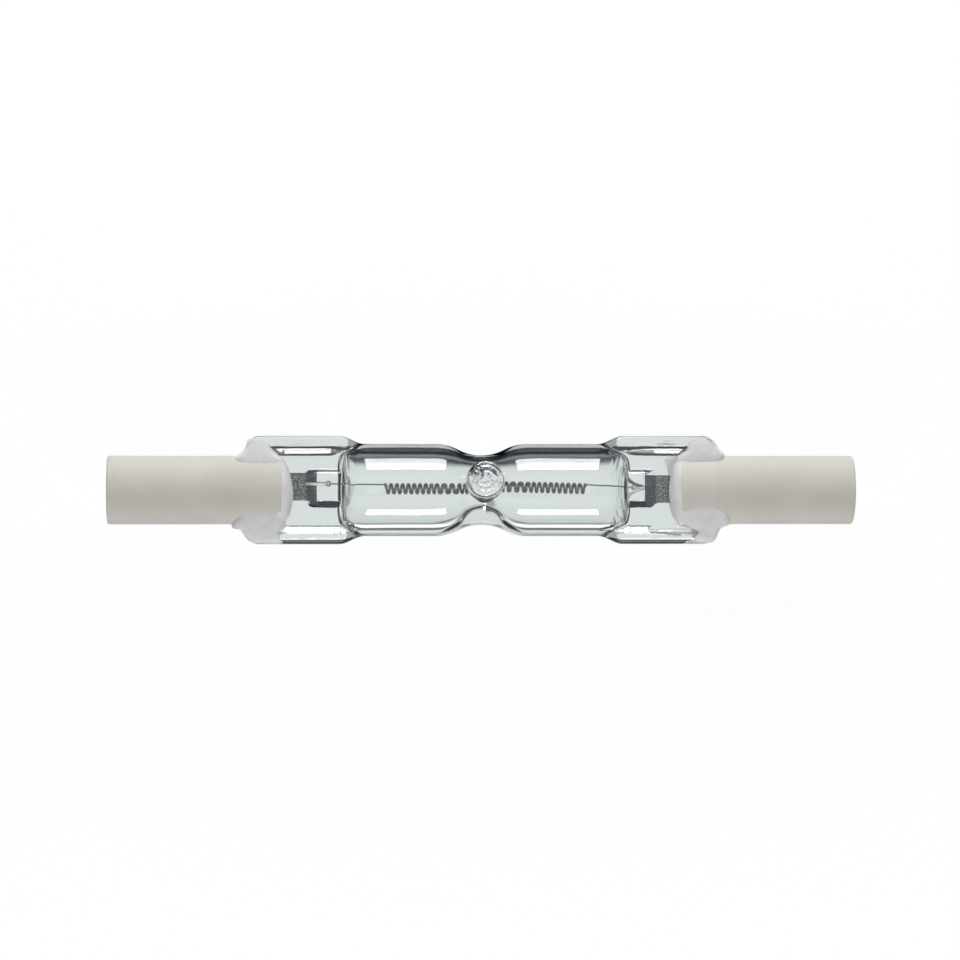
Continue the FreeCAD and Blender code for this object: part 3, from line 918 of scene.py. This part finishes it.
    def outside(self, inset: float = 0.0) -> Surface:
        """The outer skin without its tip.

        At angle a round the lamp, y is the half width times cos a. The height z is the greater of
        the chamber's, a circle's height over y times the dome's share, and the pinch's, which is the
        lesser of its rounded edge and its pressed height. Each pair runs softly together. The circle
        narrows a little towards the jaws.

        Args:
            inset: how far inside the real skin the surface lies.

        Returns:
            The closed surface.
        """
        end = self.pinch_end - inset
        x = mirrored(
            runs(
                (0.0, 1.8, 0.06),
                (1.8, 5.0, 0.24),
                (5.0, 11.0, 0.6),
                (11.0, 13.0, 0.2),
                (13.0, 15.9, 0.06),
                (15.9, 23.2, 0.2),
                (23.2, end, 0.12),
            )
        )[:, None]
        angle = self.turns_round(self.skin_sides)
        around = np.abs(np.sin(angle))
        y = (self.half_width(x) - inset) * np.cos(angle)
        narrowed = (self.tube - self.end_half) * smooth_step(np.abs(x), self.flare_start, self.left_jaw)
        plan = self.radius(x) - inset - narrowed
        chamber = np.sqrt(np.maximum(plan**2 - y**2, 0.0)) * self.domed(x, y)
        flat = smooth_step(np.abs(x), self.flare_start, self.pinch_full)
        edge = np.where(y > 0.0, self.upper_edge, self.lower_edge) * around
        pressed = self.pressed(x, y, np.sin(angle) > 0.0) - inset
        pinch = smooth_least(edge, pressed, np.minimum(self.edge_round, edge) + TINY) * flat
        height = smooth_most(chamber, pinch, self.foot_round * flat + TINY)
        z = np.sign(np.sin(angle)) * np.maximum(height, 0.0)
        return tube_surface(np.stack(np.broadcast_arrays(x, y, z), axis=-1))

    def hollow(self) -> Surface:
        """The skin of the hollow: y is the half width times r cos a, and z the half height times r sin a.

        The share r is 1 in the chambers. At the waist it is the lesser of the narrower bore's and
        an upright wall's, which closes off part of the bore on the -Y side. The height falls along
        an ellipse to each end. The left end is blunt, and the right end runs on in a beak, whose
        half width falls off as an exponential along the inner lead.

        Returns:
            The closed surface, with its faces turned out of the hollow.
        """
        x = runs(
            (-self.left_cavity_end, -11.2, 0.07),
            (-11.2, -5.2, 0.6),
            (-5.2, 5.2, 0.22),
            (5.2, 11.2, 0.6),
            (11.2, self.beak_end, 0.07),
        )[:, None]
        angle = self.turns_round(self.hollow_sides)
        away = np.abs(x)
        left = x < 0.0
        end = np.where(left, self.left_cavity_end, self.right_cavity_end)
        cos, sin = np.cos(angle), np.sin(angle)
        bore = self.waisted(x, self.bore, self.waist_bore, self.waist_bore_half) / self.bore
        wall = self.waisted(x, self.bore, self.waist_wall, self.waist_wall_half) / self.bore
        wall_round = self.waist_wall_round * (1.0 - wall) + TINY
        share = smooth_least(bore, wall / np.maximum(-cos, TINY), wall_round)
        closing = np.clip((away - end + self.cavity_round) / self.cavity_round, 0.0, 1.0)
        past = np.exp(-np.maximum(away - end, 0.0) / self.beak_fall)
        beak = self.beak_end_half + (self.beak_half - self.beak_end_half) * past
        last = np.where(left, self.left_cavity_end, self.beak_end)
        shut = np.clip((away - last + self.beak_round) / self.beak_round, 0.0, 1.0 - POLE)
        tail = np.sqrt(1.0 - shut**2)
        half = (beak + (self.bore - beak) * (1.0 - closing**4) ** 0.25) * tail
        bend = smooth_step(away - end, self.bend_start, self.bend_end)
        y = half * share * cos + np.where(left, LEFT_LEAD, RIGHT_LEAD) * bend
        fall = np.clip((away - self.shoulder) / (end - self.shoulder), 0.0, 1.0)
        height = self.cavity_end_height + (self.bore - self.cavity_end_height) * np.sqrt(1.0 - fall**2)
        thin = self.beak_end_half / self.cavity_end_height
        z = height * (thin + (1.0 - thin) * past) * tail * share * sin
        return tube_surface(np.stack(np.broadcast_arrays(x, y, z), axis=-1))

    def leaning(self, surface: Surface, along: float, across: float) -> Surface:
        """Lean an upright turned surface over towards +Y and set it at a place on the lamp.

        Args:
            surface: the surface, about Z.
            along: its place along the lamp.
            across: its place across the lamp.

        Returns:
            The same surface, moved.
        """
        turn = Matrix.Rotation(-math.radians(self.tip_lean), 3, "X")
        surface.points = surface.points @ np.array(turn).T + np.array([along, across, 0.0])
        return surface

    def tip(self) -> Surface:
        """The melted tip: a flat drum with a rounded rim, a spread foot and an uneven top.

        The drum's profile is a superellipse, radius R cos^p a and height by sin^p a. Its top has a
        swirl, a sine of the distance from the middle in widths plus one turn round the drum, and
        pits, a product of two slanting sines.

        Returns:
            The closed surface, in its place on the waist.
        """
        angle = np.linspace(-0.5 * math.pi, 0.5 * math.pi, self.tip_rings)
        rise = np.where(angle > 0.0, self.tip_top - self.tip_middle, self.tip_middle - self.tip_foot)
        height = self.tip_middle + rise * np.sign(angle) * np.abs(np.sin(angle)) ** self.tip_power
        foot = 1.0 - np.exp(-(np.maximum(self.tip_middle - height, 0.0) ** 2))
        radius = self.tip_radius + self.tip_spread * foot
        rounded = radius * np.maximum(np.cos(angle), self.tip_pole) ** self.tip_power
        drum = turned_surface(rounded, height, self.tip_sides)
        x, y, z = drum.points.T
        out = np.hypot(x, y)
        swirl = np.sin(2.0 * math.pi * out / self.swirl_width + np.arctan2(y, x))
        turn = 2.0 * math.pi / self.pit_width
        pits = np.prod([np.sin(turn * (a * x + b * y)) for a, b in self.pit_slants], axis=0)
        rim = smooth_step(out, self.rim_start * self.tip_radius, self.tip_radius)
        inner = smooth_step(out, self.top_start, self.top_full) * (1.0 - rim)
        relief = self.swirl * (1.0 - swirl) + self.pit * (1.0 - pits)
        drum.points[:, 2] = z - relief * inner * (z > self.tip_middle)
        return self.leaning(drum, self.tip_offset, 0.0)

    def tip_hole(self) -> Surface:
        """The closed-off hole in the tip, tapering by a power of a cosine to a rounded end.

        Returns:
            The closed surface, in its place over the bore.
        """
        share = np.linspace(0.0, 1.0, self.hole_rings)
        radius = self.hole * np.maximum(np.cos(0.5 * math.pi * share), POLE) ** self.hole_power
        foot = 0.5 * self.waist_bore
        hole = turned_surface(radius, foot + (self.hole_top - foot) * share, self.hole_sides)
        return self.leaning(hole, *self.hole_place)

    def build(self) -> bpy.types.Object:
        """Make the glass piece: outer skin with its tip, and the hollow turned inside out.

        Returns:
            The piece.
        """
        skin = combined(self.outside().mesh("skin"), self.tip().mesh("tip"), "UNION")
        hollow = combined(self.hollow().mesh("hollow"), self.tip_hole().mesh("tip_hole"), "UNION")
        hollow.flip_normals()
        mesh = joined("quartz_glass", skin, hollow)
        return finished(mesh, "quartz_glass", "quartz_glass", "quartz_envelope")


@dataclass
class Filament:
    """Coiled-coil tungsten wire: two coils, a link through the waist and a leg at each end."""

    coil: float = 0.43
    pitch: float = 0.61
    turns: int = 14
    link_half: float = 2.0
    shift: float = 0.45
    left_axis: tuple[float, float] = (0.13, 0.0)
    right_axis: tuple[float, float] = (0.41, -0.025)
    lead_tip: float = 15.9
    winding: float = 0.14
    leg_winding: float = 0.06
    winding_pitch: float = 0.15
    wire: float = 0.042
    turn_points: int = 180
    leg_points: int = 300
    link_points: int = 200
    steps: int = 9
    sides: int = 5

    def half_path(self, side: Side, lead: float) -> tuple[np.ndarray, np.ndarray, np.ndarray]:
        """One half of the wire's route, outward from the lamp's middle.

        The coil is x = ±(start + pitch t), y = R cos 2πt, z = ±R sin 2πt for t turns, about an axis
        of its own, and the link and the leg are straight.

        Args:
            side: which half.
            lead: how far off the axis the leg ends.

        Returns:
            The points, the coil angle at each, and the fine winding's radius at each.
        """
        turns = np.linspace(0.0, self.turns, self.turns * self.turn_points)
        angle = 2.0 * math.pi * turns
        x = self.shift + side.value * (self.link_half + self.pitch * turns)
        offset, rise = self.left_axis if side is Side.LEFT else self.right_axis
        y = offset + rise * x + self.coil * np.cos(angle)
        coil = np.stack([x, y, side.value * self.coil * np.sin(angle)], axis=-1)
        leg_end = np.array([side.value * self.lead_tip, lead, 0.0])
        leg = coil[-1] + (leg_end - coil[-1]) * np.linspace(0.0, 1.0, self.leg_points)[1:, None]
        level = 0.5 * (self.left_axis[0] + self.right_axis[0])
        middle = np.array([self.shift, level + self.coil, 0.0])
        link = middle + (coil[0] - middle) * np.linspace(0.0, 1.0, self.link_points)[:-1, None]
        points = np.concatenate([link, coil, leg])
        angles = np.concatenate([np.zeros(len(link)), angle, np.zeros(len(leg))])
        winding = np.full(len(points), self.leg_winding)
        winding[len(link) : -len(leg)] = self.winding
        return points, angles * side.value, winding

    def build(self) -> bpy.types.Object:
        """Wind the fine wire round the route and carry its round section along it.

        At length s the fine wire's centre is P(s) + w (cos 2πs/p · e1 + sin 2πs/p · e2), where e1
        and e2 are square to the route, and e1 points away from the coil's axis.

        Returns:
            The piece.
        """
        left = self.half_path(Side.LEFT, LEFT_LEAD)
        right = self.half_path(Side.RIGHT, RIGHT_LEAD)
        route, angles, winding = (np.concatenate([a[:0:-1], b]) for a, b in zip(left, right))
        length = np.concatenate([[0.0], np.cumsum(np.linalg.norm(np.diff(route, axis=0), axis=1))])
        count = round(length[-1] / self.winding_pitch * self.steps)
        s = np.linspace(0.0, length[-1], count)
        centre = np.stack([np.interp(s, length, route[:, axis]) for axis in range(3)], axis=-1)
        turned = [np.interp(s, length, part(angles)) for part in (np.cos, np.sin)]
        outward = np.stack([np.zeros(count), *turned], axis=-1)
        away, across = self.square_to(centre, outward)
        wound = 2.0 * math.pi * s[:, None] / self.winding_pitch
        spoke = np.cos(wound) * away + np.sin(wound) * across
        fine = centre + np.interp(s, length, winding)[:, None] * spoke
        up, over = self.square_to(fine, spoke)
        around = np.linspace(0.0, 2.0 * math.pi, self.sides, endpoint=False)[None, :, None]
        rings = fine[:, None] + self.wire * (np.cos(around) * up[:, None] + np.sin(around) * over[:, None])
        mesh = tube_surface(rings).mesh("filament_winding")
        return finished(mesh, "filament_winding", "tungsten_wire", "filament")

    @staticmethod
    def square_to(path: np.ndarray, guide: np.ndarray) -> tuple[np.ndarray, np.ndarray]:
        """Two unit directions square to a path and to each other.

        Args:
            path: the path's points.
            guide: the direction at each point that the first one comes as near to as it can.

        Returns:
            The two directions at each point.
        """
        along = np.gradient(path, axis=0)
        along /= np.linalg.norm(along, axis=1, keepdims=True)
        first = guide - np.sum(guide * along, axis=1, keepdims=True) * along
        first /= np.linalg.norm(first, axis=1, keepdims=True)
        return first, np.cross(along, first)


@dataclass(frozen=True)
class Lump:
    """A pillow of cement.

    Its outline is given as distances along the axis and across. The heights of its front and back
    faces are those at the wing's edge, and each face rises towards the axis by the bank.
    """

    outline: tuple[tuple[float, float], ...]
    front: float
    back: float
    bank: float = 0.0
    fullness: float = 8.0
    wing: float = 5.7
    curve_points: int = 14
    layers: int = 61

    def surface(self, side: Side) -> Surface:
        """A pillow over a smooth closed outline.

        The outline is a Catmull-Rom curve through its points. At the share r of the way out from
        the middle, a face's height is (front or back + bank · way in from the wing) · (1 - r^n)^½.

        Args:
            side: the end of the lamp that it lies on.

        Returns:
            The closed surface.
        """
        points = np.array(self.outline)
        middle = points.mean(axis=0)
        step = np.linspace(0.0, 1.0, self.curve_points, endpoint=False)[:, None, None]
        before, after, beyond = (np.roll(points, shift, axis=0) for shift in (1, -1, -2))
        bend = 2.0 * before - 5.0 * points + 4.0 * after - beyond
        twist = 3.0 * points - before - 3.0 * after + beyond
        curve = points + 0.5 * step * (after - before + step * (bend + step * twist))
        edge = curve.transpose(1, 0, 2).reshape(-1, 2)
        angle = np.linspace(-0.5 * math.pi, 0.5 * math.pi, self.layers)
        share = np.maximum(np.cos(angle), POLE)
        rings = np.empty((len(angle), len(edge), 3))
        rings[..., :2] = middle + share[:, None, None] * (edge - middle)
        level = np.where(angle > 0.0, self.front, -self.back)[:, None]
        rise = self.bank * (self.wing - np.abs(rings[..., 1])) * np.sign(angle)[:, None]
        rings[..., 2] = (level + rise) * np.sqrt(1.0 - share**self.fullness)[:, None]
        rings[..., 0] *= side.value
        surface = tube_surface(rings)
        following = np.roll(edge, -1, axis=0)
        spun = np.sum(edge[:, 0] * following[:, 1] - edge[:, 1] * following[:, 0]) * side.value
        return surface if spun > 0.0 else surface.turned_in()


@dataclass
class CementBed:
    """The cement of one end: what fills the slot, the collar at the mouth and the lumps beside it."""

    side: Side
    lumps: tuple[Lump, ...]
    grain: float = 0.09
    smoothing: int = 10
    smoothing_share: float = 0.5
    sink: float = 0.03

    def build(self, envelope: QuartzEnvelope) -> bpy.types.Object:
        """Run the lumps together, smooth them, and cut away what the glass fills.

        The cut stays a hair inside the glass, so that the cement lies against it with no gap.

        Args:
            envelope: the glass that the cement lies on.

        Returns:
            The piece.
        """
        name = f"cement_bed_{self.side.word}"
        blobs = [lump.surface(self.side).mesh("lump") for lump in self.lumps]
        melt = [
            {"type": "REMESH", "mode": "VOXEL", "voxel_size": self.grain},
            {"type": "SMOOTH", "factor": self.smoothing_share, "iterations": self.smoothing},
        ]
        glass = envelope.outside(self.sink).mesh("glass")
        mesh = combined(joined("blobs", *blobs), glass, "DIFFERENCE", melt)
        return finished(mesh, name, "base_cement", f"cement_{self.side.word}")


# Studio


class Use(enum.Enum):
    """What a softbox is for: to light matt surfaces, or to shine in glossy ones."""

    LIGHT = "light"
    SHINE = "shine"


@dataclass(frozen=True)
class Softbox:
    """A large softbox: its lean from overhead towards +Y, its distance, sizes, brightness and use."""

    name: str
    lean: float
    distance: float
    length: float
    width: float
    brightness: float
    use: Use

    def build(self) -> None:
        """Hang the light and aim it at the lamp."""
        light = bpy.data.lights.new(self.name, "AREA")
        light.shape = "RECTANGLE"
        light.size = self.length * MM
        light.size_y = self.width * MM
        light.energy = self.brightness * math.pi * light.size * light.size_y
        lamp = bpy.data.objects.new(self.name, light)
        tilt = math.radians(self.lean)
        lamp.location = (0.0, math.sin(tilt) * self.distance * MM, math.cos(tilt) * self.distance * MM)
        lamp.rotation_euler = (-tilt, 0.0, 0.0)
        lamp.visible_camera = False
        lamp.visible_transmission = False
        lamp.visible_diffuse = self.use is Use.LIGHT
        lamp.visible_glossy = self.use is Use.SHINE
        bpy.context.scene.collection.objects.link(lamp)


SOFTBOXES = (
    Softbox("key_light", 73.0, 260.0, 320.0, 150.0, 3.7, Use.LIGHT),
    Softbox("fill_light", -57.0, 260.0, 320.0, 95.0, 3.1, Use.LIGHT),
    Softbox("key_card", 68.5, 255.0, 180.0, 151.0, 17.0, Use.SHINE),
    Softbox("fill_card", -56.8, 255.0, 180.0, 66.0, 21.0, Use.SHINE),
)


@dataclass
class Studio:
    """A white floor, soft lights from both sides, a plain surround and the camera overhead."""

    white: Colour = (1.0, 1.0, 1.0)
    floor_half: float = 900.0
    floor_paint: Colour = (0.85, 0.85, 0.85)
    floor_glow: float = 0.86
    floor_brightness: float = 1.07
    sky: Colour = (0.97, 0.985, 1.0)
    ambient: float = 0.28
    brightness: float = 1.3
    camera_distance: float = 400.0
    camera_near: float = 10.0
    camera_yaw: float = 2.5
    frame_width: float = 100.95
    sensor: float = 36.0
    aim: tuple[float, float] = (-0.12, 1.05)

    def build(self) -> None:
        """Set up everything round the lamp."""
        self.make_floor()
        self.make_surround()
        self.make_camera()
        for softbox in SOFTBOXES:
            softbox.build()
        bpy.context.scene.view_settings.view_transform = "Standard"

    def make_floor(self) -> None:
        """Lay the floor under the tube: white to the eye, with the lamp's own soft shadow."""
        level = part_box("quartz_envelope")[0].z
        half = self.floor_half * MM
        corners = [(-half, -half, level), (half, -half, level), (half, half, level), (-half, half, level)]
        mesh = bpy.data.meshes.new("floor")
        mesh.from_pydata(corners, [], [(0, 1, 2, 3)])
        floor = bpy.data.objects.new("floor", mesh)
        bpy.context.scene.collection.objects.link(floor)
        material, graph = new_material("white_floor")
        through = graph.ray("Glossy").highest(graph.ray("Transmission"))
        matt = graph.signal("ShaderNodeBsdfDiffuse", {}, {"Color": self.floor_paint})
        bright = {"Color": self.white, "Strength": self.floor_brightness}
        glow = graph.signal("ShaderNodeEmission", {}, bright)
        open_air = graph.signal("ShaderNodeBsdfTransparent")
        shown = graph.mix_shader(graph.ray("Camera") * self.floor_glow, matt, glow)
        surface = graph.mix_shader(through, shown, open_air)
        graph.node("ShaderNodeOutputMaterial", {}, {"Surface": surface})
        mesh.materials.append(material)

    def make_surround(self) -> None:
        """Light from all round, and the studio that glass and metal show.

        Seen in the glass, the white ground reaches a little to both sides, with darkness beyond it.
        """
        world = bpy.data.worlds.new("surround")
        world.use_nodes = True
        bpy.context.scene.world = world
        graph = Graph(world.node_tree)
        direction = graph.signal("ShaderNodeTexCoord", output="Generated")
        down = graph.axis(direction, "Z") * -1.0
        bearing = graph.axis(direction, "Y").bearing(down)
        turn = bearing / (2.0 * math.pi) + 0.5
        seen = self.shades()
        shade = graph.ramp(turn, [((angle + 180.0) / 360.0, colour) for angle, colour in seen])
        sideways = graph.far_along(direction).bearing(down) / math.pi
        fade = graph.ramp(sideways, [(angle / 180.0, (level,) * 3) for angle, level in self.fades()])
        shade = graph.blend(1.0, shade, fade, "MULTIPLY")
        shown = graph.ray("Glossy").highest(graph.ray("Transmission"))
        backgrounds = ((self.sky, self.ambient), (shade, self.brightness), (self.white, 1.0))
        ambient, studio, white = (
            graph.signal("ShaderNodeBackground", {}, {"Color": colour, "Strength": strength})
            for colour, strength in backgrounds
        )
        lit = graph.mix_shader(shown, ambient, studio)
        surface = graph.mix_shader(graph.ray("Camera"), lit, white)
        graph.node("ShaderNodeOutputWorld", {}, {"Surface": surface})

    @staticmethod
    def fades() -> Sequence[tuple[float, float]]:
        """How much of its shade the studio keeps, by angle from straight down towards either end."""
        return [(0.0, 1.0), (16.0, 1.0), (20.0, 0.45), (44.0, 0.45), (54.0, 1.0)]

    @staticmethod
    def shades() -> Stops:
        """Shades of the studio that glass and metal show.

        Returns:
            An angle from straight down, positive towards +Y, and a colour for each stop.
        """
        high = (0.70, 0.71, 0.71)
        ground = (0.515, 0.555, 0.555)
        dark = (0.012, 0.015, 0.02)
        dim = (0.08, 0.085, 0.09)
        bright = (0.95, 0.96, 0.96)
        side = (0.40, 0.41, 0.41)
        return [
            (-180.0, high),
            (-140.0, high),
            (-100.0, side),
            (-63.0, (0.55, 0.55, 0.55)),
            (-59.0, bright),
            (-46.0, bright),
            (-42.0, dim),
            (-30.0, dim),
            (-26.0, ground),
            (9.0, ground),
            (15.0, dark),
            (52.0, dark),
            (60.0, (0.24, 0.26, 0.27)),
            (100.0, (0.30, 0.31, 0.31)),
            (140.0, high),
            (180.0, high),
        ]

    def make_camera(self) -> None:
        """Hang the camera over the lamp, a little to the left of its middle."""
        data = bpy.data.cameras.new("camera")
        data.sensor_width = self.sensor
        data.lens = self.sensor * self.camera_distance / self.frame_width
        data.clip_start = self.camera_near * MM
        camera = bpy.data.objects.new("camera", data)
        yaw = math.radians(self.camera_yaw)
        back = Vector((-math.sin(yaw), 0.0, math.cos(yaw))) * self.camera_distance
        camera.location = (Vector((*self.aim, 0.0)) + back) * MM
        camera.rotation_euler = (0.0, -yaw, 0.0)
        bpy.context.scene.collection.objects.link(camera)
        bpy.context.scene.camera = camera


# The lamp


SLOT_FILLING = Lump(((20.9, -3.3), (24.7, -3.3), (24.7, 3.3), (20.9, 3.3)), 1.5, 1.5)
LEFT_COLLAR = ((19.66, -0.4), (20.25, -3.1), (21.6, -3.5), (23.2, 0.0), (21.6, 3.4), (20.3, 2.6))
LEFT_UPPER = (
    ((24.3, 5.45), (24.75, 4.5), (25.2, 3.95), (26.0, 3.1), (24.5, 1.5))
    + ((21.4, 1.5), (20.5, 2.9), (21.3, 3.8), (22.2, 4.9), (22.9, 5.45))
)
LEFT_LOWER = (
    ((26.1, -3.2), (26.1, -4.0), (25.3, -4.2), (24.8, -4.9), (24.3, -5.4), (23.4, -5.6), (21.0, -5.6))
    + ((20.6, -5.2), (21.0, -4.5), (20.4, -3.4), (21.2, -1.4), (23.6, -1.2), (25.2, -1.6))
)
RIGHT_COLLAR = ((19.64, -0.2), (20.25, -3.1), (21.6, -3.5), (23.2, 0.0), (21.6, 3.4), (20.1, 2.7))
RIGHT_FRILL = ((19.5, 3.5), (19.6, 2.3), (20.0, 1.3), (21.5, 1.3), (21.6, 3.6))
RIGHT_UPPER = (
    ((23.7, 5.55), (24.5, 5.2), (25.0, 4.4), (25.7, 3.4), (24.5, 1.5))
    + ((21.0, 1.5), (20.3, 3.2), (21.3, 4.2), (21.5, 5.0), (22.4, 5.55))
)
RIGHT_LOWER = (
    ((26.2, -2.6), (26.2, -3.6), (25.2, -4.1), (24.7, -5.2), (24.0, -5.6), (22.0, -5.45))
    + ((22.6, -4.5), (21.4, -3.7), (20.6, -2.6), (21.4, -1.0), (24.0, -0.9), (25.6, -1.4))
)
LEFT_LUMPS = (
    SLOT_FILLING,
    Lump(LEFT_COLLAR, 3.1, 3.1, fullness=3.0),
    Lump(LEFT_UPPER, 1.8, 1.8, 0.14),
    Lump(LEFT_LOWER, 1.8, 1.8, 0.24),
)
RIGHT_LUMPS = (
    SLOT_FILLING,
    Lump(RIGHT_COLLAR, 3.1, 3.1, fullness=3.0),
    Lump(RIGHT_FRILL, 0.3, 2.3),
    Lump(RIGHT_UPPER, 1.9, 1.9, 0.05),
    Lump(RIGHT_LOWER, 1.8, 1.8, 0.33),
)


def dress_frame_nodes() -> None:
    """Give the CAD nodes that stay in view their finishes."""
    lead_metal = LEAD_METAL.material()
    finishes = {
        "inner_lead": lead_metal,
        "outer_lead": lead_metal,
        "foil": FoilFinish().material(),
        "ceramic_base": CeramicFinish().material(),
        "contact": CONTACT_METAL.material(),
    }
    for kind, material in finishes.items():
        for side in Side:
            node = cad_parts[f"{kind}_{side.word}"]
            for slot in node.material_slots:
                slot.material = material
            LOG.info("%s dressed in %s", node.name, material.name)


def main() -> None:
    """Build the lamp piece by piece, then the studio round it."""
    logging.basicConfig(level=logging.INFO, format="%(name)s: %(message)s")
    envelope = QuartzEnvelope()
    envelope.build().data.materials.append(QuartzFinish().material())
    Filament().build().data.materials.append(TUNGSTEN.material())
    cement = CementFinish().material()
    for side, lumps in ((Side.LEFT, LEFT_LUMPS), (Side.RIGHT, RIGHT_LUMPS)):
        CementBed(side, lumps).build(envelope).data.materials.append(cement)
    dress_frame_nodes()
    Studio().build()


if __name__ == "__main__":
    main()
